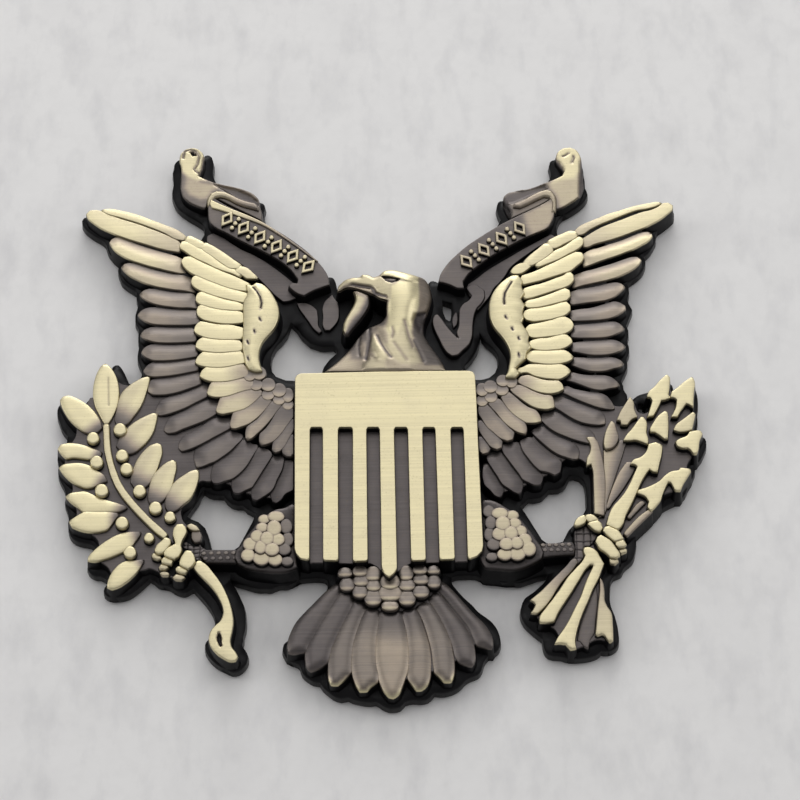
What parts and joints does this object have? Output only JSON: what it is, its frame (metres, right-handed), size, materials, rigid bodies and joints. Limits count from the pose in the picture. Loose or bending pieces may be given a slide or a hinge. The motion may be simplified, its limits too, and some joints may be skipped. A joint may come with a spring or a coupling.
{
  "type": "cap badge",
  "caption": "Antiqued brass cap badge: spread eagle with barred shield, olive branch, arrows and ribbons, fixed by a screw post and thumb nut.",
  "frame": {"origin": "on the back face of the backing plate, on the screw post's axis behind the shield", "axes": "+X to the right as seen from the front, +Y out of the back along the screw post, +Z to the top of the badge; the relief faces -Y"},
  "size_m": [0.0616, 0.0131, 0.0603],
  "materials": {
    "antique_brass": "antiqued, blackened in the recesses and brushed bright on the high areas",
    "blackened_ground": "black oxide with a thin lacquer",
    "bright_brass": "machined",
    "washer_steel": "zinc plated"
  },
  "bodies": {
    "badge": {"backing_plate": "blackened_ground", "shield": "antique_brass", "head_and_neck": "antique_brass", "left_wing": "antique_brass", "right_wing": "antique_brass", "tail_fan": "antique_brass", "left_leg": "antique_brass", "right_leg": "antique_brass", "arrow_bundle": "antique_brass", "arrow_tails": "antique_brass", "olive_branch": "antique_brass", "branch_stem": "antique_brass", "left_ribbon": "antique_brass", "right_ribbon": "antique_brass", "screw_post": "bright_brass", "locating_pins": "bright_brass"},
    "washer": {"flat_washer": "washer_steel"},
    "nut": {"thumb_nut": "bright_brass"}
  },
  "joints": [
    {"name": "nut_travel", "type": "slide", "parent": "badge", "child": "washer", "axis": [0, 1, 0], "range_m": [-0.0017, 0.006]},
    {"name": "nut_turn", "type": "hinge", "parent": "washer", "child": "nut", "pos_m": [0, 0.0053, 0], "axis": [0, 1, 0], "range_deg": [-1231, 4327]}
  ],
  "couplings": [
    {"joint": "nut_turn", "follows": "nut_travel", "rad_per_m": 12566}
  ]
}
